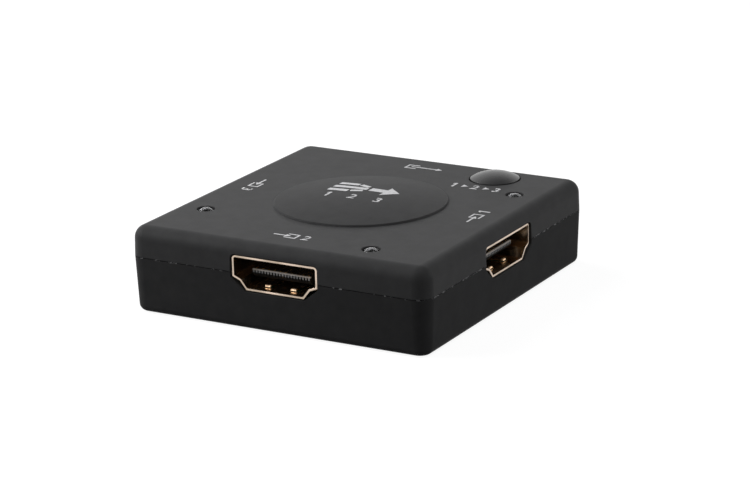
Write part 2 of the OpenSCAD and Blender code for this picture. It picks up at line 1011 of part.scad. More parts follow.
module input_1_shell() { socket_shell(right_turn); }
module input_2_shell() { socket_shell(front_turn); }
module input_3_shell() { socket_shell(left_turn); }
module output_shell() { socket_shell(back_turn); }
module input_1_tongue() { socket_tongue(right_turn); }
module input_2_tongue() { socket_tongue(front_turn); }
module input_3_tongue() { socket_tongue(left_turn); }
module output_tongue() { socket_tongue(back_turn); }
module input_1_contacts() { socket_contacts(right_turn); }
module input_2_contacts() { socket_contacts(front_turn); }
module input_3_contacts() { socket_contacts(left_turn); }
module output_contacts() { socket_contacts(back_turn); }
module lamp_1() { lamp(right_turn); }
module lamp_2() { lamp(front_turn); }
module lamp_3() { lamp(left_turn); }
module lamp_1_leads() { lamp_leads(right_turn); }
module lamp_2_leads() { lamp_leads(front_turn); }
module lamp_3_leads() { lamp_leads(left_turn); }

upper_case();
lower_case();
main_board();
case_screws();
input_1_shell();
input_2_shell();
input_3_shell();
output_shell();
input_1_tongue();
input_2_tongue();
input_3_tongue();
output_tongue();
input_1_contacts();
input_2_contacts();
input_3_contacts();
output_contacts();
lamp_1();
lamp_2();
lamp_3();
lamp_1_leads();
lamp_2_leads();
lamp_3_leads();
button_cap();
tact_switch_base();
tact_switch_cover();
tact_switch_plunger();
tact_switch_dome();
tact_switch_terminals();
switch_chip();
switch_chip_leads();
control_chip();
control_chip_leads();
chip_resistors();
chip_capacitors();
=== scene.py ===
"""Looks of a small video switch box: finishes, printed marks, lamps, studio and camera."""
import json
import math

import bmesh
import bpy
from mathutils import Matrix, Vector
from mathutils.bvhtree import BVHTree


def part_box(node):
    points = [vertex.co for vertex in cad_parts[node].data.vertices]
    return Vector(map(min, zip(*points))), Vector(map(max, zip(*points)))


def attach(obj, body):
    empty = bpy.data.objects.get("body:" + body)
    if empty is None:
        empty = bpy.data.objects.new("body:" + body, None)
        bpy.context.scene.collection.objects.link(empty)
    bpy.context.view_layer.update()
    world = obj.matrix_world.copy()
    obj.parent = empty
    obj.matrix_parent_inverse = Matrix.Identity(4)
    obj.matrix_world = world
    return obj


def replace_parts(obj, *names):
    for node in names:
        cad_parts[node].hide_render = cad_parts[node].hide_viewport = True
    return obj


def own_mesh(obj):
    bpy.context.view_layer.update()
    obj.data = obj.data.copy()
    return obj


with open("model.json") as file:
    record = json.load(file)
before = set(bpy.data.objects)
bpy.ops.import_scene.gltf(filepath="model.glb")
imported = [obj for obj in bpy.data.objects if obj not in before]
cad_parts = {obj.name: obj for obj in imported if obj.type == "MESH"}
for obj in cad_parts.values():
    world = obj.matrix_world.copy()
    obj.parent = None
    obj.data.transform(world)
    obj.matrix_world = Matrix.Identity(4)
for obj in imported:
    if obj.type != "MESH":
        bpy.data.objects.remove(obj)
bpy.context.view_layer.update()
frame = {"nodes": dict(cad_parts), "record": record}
nodes = frame["nodes"]
record = frame["record"]

MM = 0.001
WELD = 0.004 * MM
UP = Vector((0.0, 0.0, 1.0))
BLACK = (0.0, 0.0, 0.0)
OPAQUE_WHITE = (1.0, 1.0, 1.0, 1.0)

# Camera, from the photograph's fitted view
PHOTO_WIDTH = 750
SENSOR_WIDTH = 36.0
FOCAL_PIXELS = 2843.24
CAMERA_AZIMUTH = math.radians(29.805)
CAMERA_ELEVATION = math.radians(17.504)
CAMERA_ROLL = math.radians(-1.363)
CAMERA_DISTANCE = 437.476 * MM
CAMERA_TARGET = Vector((2.712, -0.742, 6.5)) * MM
CLIP_START = 10 * MM

# Heights and faces that the finishes follow, from the frame
SEAM_HEIGHT = next(mount["pos_m"][2] for mount in record["mounts"] if mount["name"] == "input_2_socket")
SIDE_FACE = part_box("upper_case")[1][0]
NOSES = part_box("input_1_tongue")[1][0], -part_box("input_2_tongue")[0][1]
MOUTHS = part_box("input_1_shell")[1][0], -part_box("input_2_shell")[0][1]
TONGUE_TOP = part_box("input_2_contacts")[1][2]

# In the finishes below, a pair of lengths says where a change begins and where it ends

# Case: painted shade on the disc, and the seam's dark line of dirt and painted shade with pale flash specks;
# on the left and right faces the line is fainter and more specks give a painted highlight
LID_TOP = 13.5 * MM
DISC_FADE = LID_TOP + 0.05 * MM, LID_TOP + 0.25 * MM
DISC_PAINTED_SHADE = 0.18
SIDE_FADE = SIDE_FACE - 1.0 * MM, SIDE_FACE - 0.4 * MM
SEAM_LINE = 0.04 * MM, 0.12 * MM
SEAM_DIRT_AND_SHADE = 0.6
SIDE_SEAM_DIRT_AND_SHADE = 0.1
FLASH_BAND = 0.06 * MM, 0.15 * MM
FLASH_NOISE = 0.565, 0.645
FLASH_GREY = 0.26
SIDE_SEAM_HIGHLIGHT = 0.05

# Tongue: painted light on the ribs between the contacts' slots on its nose, and a painted highlight along
# the nose's upper edge
CONTACT_PITCH = 0.5 * MM
RIB_EDGE = 0.1 * MM, 0.13 * MM
RIB_FOOT = TONGUE_TOP - 0.56 * MM, TONGUE_TOP - 0.46 * MM
RIB_DEPTH = 0.01 * MM, 0.04 * MM
RIB_PAINTED_LIGHT = (0.3, 0.315, 0.33)
EDGE_FOOT = TONGUE_TOP - 0.16 * MM, TONGUE_TOP - 0.12 * MM
EDGE_DEPTH = 0.2 * MM, 0.35 * MM
EDGE_PAINTED_HIGHLIGHT = (0.52, 0.535, 0.55)

# Shell: the cut edge round its mouth, greyer and unevenly toned as a painted highlight, and the worn tips of
# the springs on its floor
RIM_DEPTH = 0.1 * MM, 0.2 * MM
RIM_HIGHLIGHT_DARK = (0.44, 0.355, 0.275)
RIM_HIGHLIGHT_LIGHT = (0.66, 0.53, 0.43)
SOCKET_FLOOR = SEAM_HEIGHT - 2.3 * MM
TIP_START = 1.5 * MM, 1.6 * MM
TIP_END = 1.95 * MM, 2.1 * MM
TIP_FOOT = 0.02 * MM, 0.08 * MM
TIP_CREST = 0.38 * MM, 0.42 * MM
TIP_REACH = 2.8 * MM, 3.0 * MM
TIP_WEAR = 0.3

# Studio
FLOOR_HALF = 2.0
FLOOR_DROP = 0.02 * MM
FLOOR_GREY = 0.2
FLOOR_MOTTLE = 1.02
FLOOR_LIFT = 0.9
WORLD_FILL = 0.1
DARK_AZIMUTH = math.radians(75)
DARK_ELEVATION = math.radians(70)
BACKDROP_FADE = 0.4, 0.98

# Softboxes: name, azimuth and elevation in degrees, distance and width in metres, watts, seen in gloss
SOFTBOXES = (
    ("left_softbox", -60, 30, 0.25, 0.14, 0.366, True),
    ("right_softbox", 125, 20, 0.9, 0.5, 1.42, True),
    ("upper_left_softbox", -90, 45, 0.3, 0.2, 0.37, False),
    ("upper_right_softbox", 70, 65, 0.4, 0.3, 0.5, False),
    ("back_softbox", -115, 25, 0.25, 0.14, 0.167, False),
)


def link(tree, source, target):
    """Joins an output socket to an input socket."""
    tree.links.new(source, target)


def new_material(name):
    """A material with nodes, its tree and its main shader."""
    material = bpy.data.materials.new(name)
    material.use_nodes = True
    return material, material.node_tree, material.node_tree.nodes["Principled BSDF"]


def object_coordinates(tree):
    """Place on the piece in its own coordinates, in metres."""
    return tree.nodes.new("ShaderNodeTexCoord").outputs["Object"]


def place_of(tree):
    """X, Y and Z of a place on the piece, as sockets."""
    node = tree.nodes.new("ShaderNodeSeparateXYZ")
    link(tree, object_coordinates(tree), node.inputs[0])
    return node.outputs


def calculate(tree, operation, first, second=None):
    """One step of arithmetic on sockets or plain numbers."""
    node = tree.nodes.new("ShaderNodeMath")
    node.operation = operation
    for socket, value in zip(node.inputs, (first, second)):
        if isinstance(value, (int, float)):
            socket.default_value = value
        elif value is not None:
            link(tree, value, socket)
    return node.outputs[0]


def product(tree, first, *others):
    """Product of several sockets."""
    for other in others:
        first = calculate(tree, "MULTIPLY", first, other)
    return first


def spread(tree, value, low, high, start=0.0, end=1.0):
    """Maps a value from start..end to low..high."""
    node = tree.nodes.new("ShaderNodeMapRange")
    node.inputs["From Min"].default_value = start
    node.inputs["From Max"].default_value = end
    node.inputs["To Min"].default_value = low
    node.inputs["To Max"].default_value = high
    link(tree, value, node.inputs["Value"])
    return node.outputs["Result"]


def rise(tree, value, start, end):
    """0 up to start and 1 from end on."""
    return spread(tree, value, 0.0, 1.0, start, end)


def fall(tree, value, start, end):
    """1 up to start and 0 from end on."""
    return spread(tree, value, 1.0, 0.0, start, end)


def noise(tree, scale, detail=2.0, roughness=0.5):
    """Noise over the piece's own coordinates; scale is in repeats per metre."""
    texture = tree.nodes.new("ShaderNodeTexNoise")
    texture.inputs["Scale"].default_value = scale
    texture.inputs["Detail"].default_value = detail
    texture.inputs["Roughness"].default_value = roughness
    link(tree, object_coordinates(tree), texture.inputs["Vector"])
    return texture.outputs["Fac"]


def grey(level):
    """Grey with a slight lean to blue."""
    return (level, level, level * 1.02)


def ramp(tree, value, stops):
    """Colour ramp; stops are (position, colour) pairs."""
    node = tree.nodes.new("ShaderNodeValToRGB")
    elements = node.color_ramp.elements
    while len(elements) < len(stops):
        elements.new(1.0)
    for element, (position, colour) in zip(elements, stops):
        element.position = position
        element.color = (*colour, 1.0)
    link(tree, value, node.inputs["Fac"])
    return node.outputs["Color"]


def blend_colours(tree, share, first, second):
    """Colour that goes from first to second as share goes from 0 to 1."""
    node = tree.nodes.new("ShaderNodeMix")
    node.data_type = "RGBA"
    factor, low, high = (socket for socket in node.inputs if socket.enabled)
    link(tree, share, factor)
    for socket, colour in ((low, first), (high, second)):
        if isinstance(colour, tuple):
            socket.default_value = (*colour, 1.0)
        else:
            link(tree, colour, socket)
    return next(socket for socket in node.outputs if socket.enabled)


def soft_edges(tree, radius):
    """Normal with the piece's edges rounded by a small radius."""
    node = tree.nodes.new("ShaderNodeBevel")
    node.samples = 6
    node.inputs["Radius"].default_value = radius
    return node.outputs["Normal"]


def bump(tree, height, distance, strength, normal=None):
    """Normal that follows a height, over another normal where one is given."""
    node = tree.nodes.new("ShaderNodeBump")
    node.inputs["Distance"].default_value = distance
    node.inputs["Strength"].default_value = strength
    link(tree, height, node.inputs["Height"])
    if normal is not None:
        link(tree, normal, node.inputs["Normal"])
    return node.outputs["Normal"]


def across_socket(tree, place):
    """Distance from the upright middle plane of the socket that a place lies in."""
    return calculate(tree, "MINIMUM", *(calculate(tree, "ABSOLUTE", place[name]) for name in "XY"))


def behind_fronts(tree, place, fronts):
    """Distance behind the front faces of the four sockets."""
    depths = [
        calculate(tree, "SUBTRACT", front, calculate(tree, "ABSOLUTE", place[name]))
        for name, front in zip("XY", fronts)
    ]
    return calculate(tree, "MINIMUM", *depths)


def moulded_plastic(name, dark, light, rough, grain_depth, specular, edge=0.07 * MM):
    """Moulded plastic with a fine eroded grain, faint mottling and softened edges."""
    material, tree, shader = new_material(name)
    grain = noise(tree, scale=5200.0, detail=3.0, roughness=0.6)
    mottle = noise(tree, scale=420.0, detail=3.0, roughness=0.55)
    colour = ramp(tree, mottle, [(0.3, grey(dark)), (0.7, grey(light))])
    link(tree, colour, shader.inputs["Base Color"])
    link(tree, spread(tree, grain, *rough), shader.inputs["Roughness"])
    shader.inputs["Specular IOR Level"].default_value = specular
    normal = bump(tree, grain, distance=grain_depth, strength=1.0, normal=soft_edges(tree, edge))
    link(tree, normal, shader.inputs["Normal"])
    return material, tree, shader, colour


def case_plastic(name, dark, light, specular):
    """Black case moulding, with painted shade on the lid's disc and a dark seam line.

    The seam line is dirt and painted shade in its groove, with a few pale specks of flash. On the left
    and right faces the line is fainter and more pale specks give a painted highlight along the seam.
    is fainter and there is more flash.
    """
    material, tree, shader, colour = moulded_plastic(
        name, dark, light, rough=(0.38, 0.48), grain_depth=0.005 * MM, specular=specular
    )
    place = place_of(tree)
    # Painted shade: the disc on the lid is darkened towards black
    disc_painted_shade = spread(tree, place["Z"], 0.0, DISC_PAINTED_SHADE, *DISC_FADE)
    colour = blend_colours(tree, disc_painted_shade, colour, BLACK)
    off_seam = calculate(tree, "ABSOLUTE", calculate(tree, "SUBTRACT", place["Z"], SEAM_HEIGHT))
    on_side = rise(tree, calculate(tree, "ABSOLUTE", place["X"]), *SIDE_FADE)
    shade = spread(tree, on_side, SEAM_DIRT_AND_SHADE, SIDE_SEAM_DIRT_AND_SHADE)
    # Dirt and painted shade: a dark line in the seam's groove, fainter on the left and right faces
    line = product(tree, fall(tree, off_seam, *SEAM_LINE), shade)
    colour = blend_colours(tree, line, colour, BLACK)
    specks = noise(tree, scale=1100.0, detail=4.0, roughness=0.7)
    # Pale flash specks, with more of them on the left and right faces as a painted highlight along the seam
    flash = rise(tree, calculate(tree, "ADD", specks, spread(tree, on_side, 0.0, SIDE_SEAM_HIGHLIGHT)), *FLASH_NOISE)
    flash = product(tree, fall(tree, off_seam, *FLASH_BAND), flash)
    link(tree, blend_colours(tree, flash, colour, grey(FLASH_GREY)), shader.inputs["Base Color"])
    return material


def tongue_plastic(name):
    """Black insulator with painted light on its ribbed nose and a painted highlight along the nose's upper
    edge.
    """
    material, tree, shader, colour = moulded_plastic(
        name, 0.006, 0.009, rough=(0.4, 0.55), grain_depth=0.003 * MM, specular=0.12, edge=0.03 * MM
    )
    place = place_of(tree)
    depth = behind_fronts(tree, place, NOSES)
    off_slot = calculate(tree, "PINGPONG", across_socket(tree, place), CONTACT_PITCH / 2)
    # Painted light: the ribs of the nose are painted grey between the contacts' slots
    rib_light = product(tree, rise(tree, off_slot, *RIB_EDGE), rise(tree, place["Z"], *RIB_FOOT))
    rib_light = product(tree, fall(tree, depth, *RIB_DEPTH), rib_light)
    colour = blend_colours(tree, rib_light, colour, RIB_PAINTED_LIGHT)
    # Painted highlight: the nose's upper edge is painted pale grey
    edge = product(tree, fall(tree, depth, *EDGE_DEPTH), rise(tree, place["Z"], *EDGE_FOOT))
    link(tree, blend_colours(tree, edge, colour, EDGE_PAINTED_HIGHLIGHT), shader.inputs["Base Color"])
    return material


def plated_metal(name, dark, light, rough, tone_scale, edge=0.06 * MM):
    """Plated sheet metal with small changes of tone, a fine unevenness and softened edges."""
    material, tree, shader = new_material(name)
    tone = noise(tree, tone_scale, detail=4.0, roughness=0.6)
    colour = ramp(tree, tone, [(0.3, dark), (0.72, light)])
    link(tree, colour, shader.inputs["Base Color"])
    shine = spread(tree, tone, *rough)
    link(tree, shine, shader.inputs["Roughness"])
    shader.inputs["Metallic"].default_value = 1.0
    uneven = noise(tree, scale=3000.0)
    normal = bump(tree, uneven, distance=0.001 * MM, strength=0.6, normal=soft_edges(tree, edge))
    link(tree, normal, shader.inputs["Normal"])
    return material, tree, shader, colour, shine


def plated_shell(name):
    """Gold plated socket shell, with a painted highlight of greyer, uneven tone on the cut edge round its
    mouth, and dull on its spring tips.
    """
    material, tree, shader, colour, shine = plated_metal(
        name, (0.85, 0.63, 0.43), (0.97, 0.76, 0.54), rough=(0.15, 0.27), tone_scale=900.0, edge=0.1 * MM
    )
    place = place_of(tree)
    depth = behind_fronts(tree, place, MOUTHS)
    # Painted highlight: the cut edge round the mouth takes a greyer, unevenly bright tone instead of the
    # gold
    rim_highlight = ramp(tree, noise(tree, scale=260.0), [(0.35, RIM_HIGHLIGHT_DARK), (0.65, RIM_HIGHLIGHT_LIGHT)])
    colour = blend_colours(tree, fall(tree, depth, *RIM_DEPTH), colour, rim_highlight)
    link(tree, colour, shader.inputs["Base Color"])
    above = calculate(tree, "SUBTRACT", place["Z"], SOCKET_FLOOR)
    tip = product(
        tree,
        fall(tree, across_socket(tree, place), *TIP_REACH),
        rise(tree, above, *TIP_FOOT),
        fall(tree, above, *TIP_CREST),
        rise(tree, depth, *TIP_START),
        fall(tree, depth, *TIP_END),
    )
    wear = calculate(tree, "MULTIPLY", tip, TIP_WEAR)
    link(tree, calculate(tree, "ADD", shine, wear), shader.inputs["Roughness"])
    return material


def clear_resin(name):
    """Water clear cast resin with faint changes of tint and gloss."""
    material, tree, shader = new_material(name)
    ripple = noise(tree, scale=900.0)
    tint = ramp(tree, ripple, [(0.3, (0.93, 0.94, 0.95)), (0.7, (0.99, 0.99, 1.0))])
    link(tree, tint, shader.inputs["Base Color"])
    link(tree, spread(tree, ripple, 0.12, 0.2), shader.inputs["Roughness"])
    shader.inputs["Transmission Weight"].default_value = 1.0
    shader.inputs["IOR"].default_value = 1.53
    return material


def lacquered_board(name):
    """Green lacquered laminate, faintly uneven."""
    material, tree, shader = new_material(name)
    cloth = noise(tree, scale=1600.0)
    tint = ramp(tree, cloth, [(0.3, (0.008, 0.055, 0.024)), (0.7, (0.014, 0.09, 0.04))])
    link(tree, tint, shader.inputs["Base Color"])
    link(tree, spread(tree, cloth, 0.25, 0.4), shader.inputs["Roughness"])
    link(tree, bump(tree, cloth, distance=0.01 * MM, strength=0.4), shader.inputs["Normal"])
    return material


def printed_ink(name):
    """Light grey pad print with small thin spots."""
    material, tree, shader = new_material(name)
    coverage = noise(tree, scale=4200.0, detail=3.0, roughness=0.7)
    tint = ramp(tree, coverage, [(0.32, grey(0.42)), (0.5, grey(0.58))])
    link(tree, tint, shader.inputs["Base Color"])
    link(tree, spread(tree, coverage, 0.45, 0.65), shader.inputs["Roughness"])
    shader.inputs["Specular IOR Level"].default_value = 0.2
    return material


# Plain moulded finishes: dark and light grey, roughness from and to, depth of grain, specular level
PLAIN_PLASTICS = {
    "button_plastic": (0.024, 0.03, (0.2, 0.28), 0.002 * MM, 0.5),
    "chip_plastic": (0.012, 0.02, (0.5, 0.65), 0.006 * MM, 0.4),
    "small_part_ceramic": (0.08, 0.2, (0.4, 0.6), 0.004 * MM, 0.4),
}

# Plain metal finishes: dark and light colour, roughness from and to, scale of the changes of tone
PLAIN_METALS = {
    "contact_metal": ((0.72, 0.52, 0.24), (0.86, 0.66, 0.34), (0.12, 0.2), 900.0),
    "tinned_metal": ((0.4, 0.4, 0.42), (0.55, 0.55, 0.57), (0.2, 0.35), 700.0),
    "screw_steel": ((0.42, 0.42, 0.44), (0.58, 0.58, 0.6), (0.25, 0.4), 700.0),
}

# Finish of each material slot
MATERIALS = {
    "case_plastic": case_plastic("case_plastic", dark=0.039, light=0.046, specular=0.037),
    "tongue_plastic": tongue_plastic("tongue_plastic"),
    "plated_shell": plated_shell("plated_shell"),
    "lamp_lens": clear_resin("lamp_lens"),
    "board_laminate": lacquered_board("board_laminate"),
    "mark_ink": printed_ink("mark_ink"),
}
for slot, values in PLAIN_PLASTICS.items():
    MATERIALS[slot] = moulded_plastic(slot, *values)[0]
for slot, values in PLAIN_METALS.items():
    MATERIALS[slot] = plated_metal(slot, *values)[0]

# The tray is a separate moulding, duller than the lid; its darker colour is painted shade for the box's
# lower half
OWN_FINISH = {"lower_case": case_plastic("tray_plastic_painted_shade", dark=0.033, light=0.039, specular=0.01)}


def dress_cad_nodes():
    """Gives every carried-over node its own finish, or that of its slot."""
    for part in record["subparts"]:
        piece = nodes[part["node"]]
        piece.data.materials.clear()
        piece.data.materials.append(OWN_FINISH.get(part["node"], MATERIALS[part["material_slot"]]))


def add_piece(name, work, slot):
    """A new piece on the housing from a bmesh, with the finish of a slot."""
    mesh = bpy.data.meshes.new(name)
    work.to_mesh(mesh)
    work.free()
    mesh.materials.append(MATERIALS[slot])
    piece = bpy.data.objects.new(name, mesh)
    bpy.context.scene.collection.objects.link(piece)
    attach(piece, "housing")
    return piece


# Print: how far it stands out of the lid and reaches into it, and the step in which it follows the lid
INK_RISE = 0.015 * MM
INK_SINK = 0.01 * MM
DRAPE_STEP = 1.0 * MM

# Marks at the inputs: name, place in millimetres, turn in degrees, figure
INPUT_MARKS = (
    ("mark_input_1", (19.7, 0.75), 90, "1"),
    ("mark_input_2", (-0.2, -20.0), 0, "2"),
    ("mark_input_3", (-19.65, 0.85), -90, "3"),
)

# Places of the other marks, and steps and heights of the figures, in millimetres
OUTPUT_MARK = (0, 20.5)
BUTTON_MARK = (12.4, 14.25)
DISC_MARK = (-0.9, 3.45)
DISC_FIGURES = (-0.8, -1.1)
INPUT_FIGURE_X = 2.4
BUTTON_STEP = 3.7
DISC_STEP = 4.4
FIGURE_HEIGHT = 1.9
DISC_FIGURE_HEIGHT = 2.0

# Drawing of the figures: a plain 1 in parts of its height, and the font's thickening for the others
FIGURE_ONE = [
    (0.12, -0.5), (0.12, 0.5), (-0.03, 0.5), (-0.24, 0.37), (-0.24, 0.22), (-0.06, 0.31), (-0.06, -0.5),
]
FIGURE_BOLD = 0.015

# Small triangle between the button's figures, in millimetres
POINTER = [(-0.4, -0.6), (0.6, 0.0), (-0.4, 0.6)]


def polygon(points):
    """A closed flat outline."""
    return [Vector((x, y)) for x, y in points]


def arrow(tail, tip, shaft=0.3, head=1.1, head_length=1.0):
    """Arrow along x from tail to tip, which may point either way."""
    way = math.copysign(1.0, tip - tail)
    neck = tip - way * head_length
    half, wide = shaft / 2, head / 2
    return polygon([
        (tail, -half), (neck, -half), (neck, -wide), (tip, 0), (neck, wide), (neck, half), (tail, half),
    ])


def open_box(closed_x, open_x, height=1.9, line=0.28):
    """Square bracket whose long sides run from its closed end to its open end."""
    way = math.copysign(1.0, open_x - closed_x)
    high, low = height / 2, height / 2 - line
    inner = closed_x + way * line
    return polygon([
        (open_x, high), (closed_x, high), (closed_x, -high), (open_x, -high),
        (open_x, -low), (inner, -low), (inner, low), (open_x, low),
    ])


def bar(start, end, line):
    """Straight bar with square ends."""
    along = Vector(end) - Vector(start)
    side = Vector((-along.y, along.x)).normalized() * line / 2
    return [Vector(start) - side, Vector(end) - side, Vector(end) + side, Vector(start) + side]


def three_into_one():
    """Three bars that run together into one broad arrow."""
    line, rows, half = 1.05, 1.9, 5.75
    middle_end, outer_end, arrow_tail = 0.2, -2.3, 0.7
    slant_start, slant_end, slant_line = (-1.9, 1.8), (-0.1, 1.08), 0.84
    shapes = [
        bar((-half, 0), (middle_end, 0), line),
        arrow(arrow_tail, half, shaft=1.5, head=4.2, head_length=2.4),
    ]
    for side in (-1, 1):
        slant = [(x, side * y) for x, y in (slant_start, slant_end)]
        shapes.append(bar((-half, side * rows), (outer_end, side * rows), line))
        shapes.append(bar(*slant, slant_line))
    return shapes


def figure_row(step):
    """The three inputs' figures in a row, each with its place along x."""
    return [("1", -step), ("2", 0.0), ("3", step)]


def numeral_mesh(figure, height):
    """Flat mesh of one figure of the font, centred, with the given height in millimetres."""
    curve = bpy.data.curves.new("figure", "FONT")
    curve.body = figure
    curve.dimensions = "2D"
    curve.offset = FIGURE_BOLD
    curve.fill_mode = "FRONT"
    holder = bpy.data.objects.new("figure", curve)
    bpy.context.scene.collection.objects.link(holder)
    bpy.context.view_layer.update()
    mesh = bpy.data.meshes.new_from_object(holder.evaluated_get(bpy.context.evaluated_depsgraph_get()))
    bpy.data.objects.remove(holder)
    bpy.data.curves.remove(curve)
    places = [vertex.co.xy for vertex in mesh.vertices]
    low = Vector((min(p.x for p in places), min(p.y for p in places)))
    high = Vector((max(p.x for p in places), max(p.y for p in places)))
    middle = (low + high) / 2
    factor = height / (high.y - low.y)
    mesh.transform(Matrix.Scale(factor, 4) @ Matrix.Translation((-middle.x, -middle.y, 0)))
    return mesh


def add_outline(work, points):
    """Flat face inside an outline."""
    work.faces.new([work.verts.new((p.x, p.y, 0)) for p in points])


def add_figure(work, figure, x, height):
    """Flat figure centred on a place along x."""
    if figure == "1":
        add_outline(work, polygon([(x + along * height, up * height) for along, up in FIGURE_ONE]))
        return
    mesh = numeral_mesh(figure, height)
    mesh.transform(Matrix.Translation((x, 0, 0)))
    work.from_mesh(mesh)
    bpy.data.meshes.remove(mesh)


LID = BVHTree.FromPolygons(
    [vertex.co.copy() for vertex in nodes["upper_case"].data.vertices],
    [list(face.vertices) for face in nodes["upper_case"].data.polygons],
)
ABOVE_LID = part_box("upper_case")[1][2] + 5 * MM


def lid_height(x, y):
    """Height of the lid's outer face at a place."""
    return LID.ray_cast(Vector((x, y, ABOVE_LID)), -UP)[0].z


def cut_to_steps(work):
    """Cuts flat faces along a square grid, so that they can follow a curved face."""
    for axis in (0, 1):
        values = [vertex.co[axis] for vertex in work.verts]
        first = math.ceil(min(values) / DRAPE_STEP)
        last = math.floor(max(values) / DRAPE_STEP)
        normal = Vector((1.0, 0.0, 0.0)) if axis == 0 else Vector((0.0, 1.0, 0.0))
        for step in range(first, last + 1):
            geometry = work.verts[:] + work.edges[:] + work.faces[:]
            bmesh.ops.bisect_plane(work, geom=geometry, plane_co=normal * step * DRAPE_STEP, plane_no=normal)


def lay_mark(name, place, outlines, figures=(), turn=0, figure_height=FIGURE_HEIGHT):
    """Prints outlines and figures on the lid, round a place and turned by an angle in degrees."""
    work = bmesh.new()
    for points in outlines:
        add_outline(work, points)
    for figure, x in figures:
        add_figure(work, figure, x, figure_height)
    spot = Matrix.Translation((place[0] * MM, place[1] * MM, 0))
    work.transform(spot @ Matrix.Rotation(math.radians(turn), 4, "Z") @ Matrix.Scale(MM, 4))
    cut_to_steps(work)
    bmesh.ops.remove_doubles(work, verts=work.verts[:], dist=WELD)
    raised = bmesh.ops.extrude_face_region(work, geom=work.faces[:])["geom"]
    top = {part for part in raised if isinstance(part, bmesh.types.BMVert)}
    for vertex in work.verts:
        level = lid_height(vertex.co.x, vertex.co.y)
        vertex.co.z = level + INK_RISE if vertex in top else level - INK_SINK
    bmesh.ops.recalc_face_normals(work, faces=work.faces[:])
    add_piece(name, work, "mark_ink")


def add_marks():
    """Plain arrows and figures at the sockets and the button, and a symbol on the disc."""
    into_box = [arrow(tail=-3.3, tip=-0.3), open_box(closed_x=0.85, open_x=-1.15)]
    for name, place, turn, figure in INPUT_MARKS:
        lay_mark(name, place, into_box, [(figure, INPUT_FIGURE_X)], turn)
    out_of_box = [open_box(closed_x=-3.2, open_x=-1.2), arrow(tail=-2.3, tip=3.2)]
    lay_mark("mark_output", OUTPUT_MARK, out_of_box)
    between = (-BUTTON_STEP / 2, BUTTON_STEP / 2)
    pointers = [polygon([(x + along, up) for along, up in POINTER]) for x in between]
    lay_mark("mark_button", BUTTON_MARK, pointers, figure_row(BUTTON_STEP))
    lay_mark("mark_disc", DISC_MARK, three_into_one())
    lay_mark("mark_disc_figures", DISC_FIGURES, [], figure_row(DISC_STEP), figure_height=DISC_FIGURE_HEIGHT)


# Turned pieces
TURNED_SIDES = 32
SHARP_ANGLE = math.radians(35)

# A lamp's lens and the lead frame inside it, in millimetres, with heights above the lens's foot
DOME_RADIUS = 1.6
DOME_STEPS = 10
FLANGE_HEIGHT = 0.9
CUP_SECTION = [(0.0, 2.55), (0.62, 2.55), (0.62, 2.95), (0.56, 2.95), (0.3, 2.72), (0.0, 2.72)]
POST_HALF = 0.25
POST_EDGE = 0.06
POST_FOOT = 0.02
SHORT_POST_TOP = 2.3
LONG_POST_TOP = 2.85
BRIDGE_LEVELS = 2.28, 2.56
BRIDGE_HALF = 0.62, 0.22
BRIDGE_SHIFT = 0.35

# Sheet of the snap dome under the switch's plunger, in millimetres
SNAP_SHEET = 0.1
SNAP_STEPS = 12


def turned_place(radius, angle, height):
    """Place round an upright axis."""
    return Vector((radius * math.cos(angle), radius * math.sin(angle), height))


def add_lathe(work, section, middle):
    """Turned solid about an upright axis; the section runs from axis to axis."""
    turn = 2 * math.pi / TURNED_SIDES
    rings = []
    for radius, height in section:
        count = TURNED_SIDES if radius else 1
        places = [turned_place(radius, i * turn, height) for i in range(count)]
        rings.append([work.verts.new(middle + place * MM) for place in places])
    for low, high in zip(rings, rings[1:]):
        for i in range(TURNED_SIDES):
            j = (i + 1) % TURNED_SIDES
            corners = [low[i % len(low)], low[j % len(low)], high[j % len(high)], high[i % len(high)]]
            work.faces.new(list(dict.fromkeys(corners)))


def add_post(work, middle, half, low, high):
    """Rectangular post with bevelled edges."""
    post = bmesh.ops.create_cube(work, size=1.0)["verts"]
    for vertex in post:
        vertex.co = middle + Vector((
            vertex.co.x * 2 * half[0], vertex.co.y * 2 * half[1], low + (vertex.co.z + 0.5) * (high - low)
        )) * MM
    edges = list({edge for vertex in post for edge in vertex.link_edges})
    bmesh.ops.bevel(work, geom=edges, offset=POST_EDGE * MM, segments=2, affect="EDGES", profile=0.5)


def finish_turned(work, name, slot):
    """A new piece from turned work, smooth but for its sharp edges."""
    bmesh.ops.recalc_face_normals(work, faces=work.faces[:])
    piece = add_piece(name, work, slot)
    piece.data.polygons.foreach_set("use_smooth", [True] * len(piece.data.polygons))
    piece.data.set_sharp_from_angle(angle=SHARP_ANGLE)
    return piece


def add_lamp_lens(name, foot):
    """Clear lens with a low dome, and a flange with one flat side as the lamp's own."""
    low, high = (Vector(corner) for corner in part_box(name))
    reaches = [reach / MM for reach in (high.x - foot.x, foot.x - low.x, high.y - foot.y, foot.y - low.y)]
    half, flange = min(reaches), max(reaches)
    height = (high.z - low.z) / MM
    section = [(0.0, 0.0), (flange, 0.0), (flange, FLANGE_HEIGHT), (half, FLANGE_HEIGHT)]
    slope = math.asin(half / DOME_RADIUS)
    for step in range(DOME_STEPS):
        angle = slope * (1 - step / DOME_STEPS)
        section.append((DOME_RADIUS * math.sin(angle), height - DOME_RADIUS * (1 - math.cos(angle))))
    section.append((0.0, height))
    work = bmesh.new()
    add_lathe(work, section, foot)
    for vertex in work.verts:
        vertex.co.x = min(max(vertex.co.x, low.x), high.x)
        vertex.co.y = min(max(vertex.co.y, low.y), high.y)
    bmesh.ops.remove_doubles(work, verts=work.verts[:], dist=WELD)
    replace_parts(finish_turned(work, name + "_lens", "lamp_lens"), name)


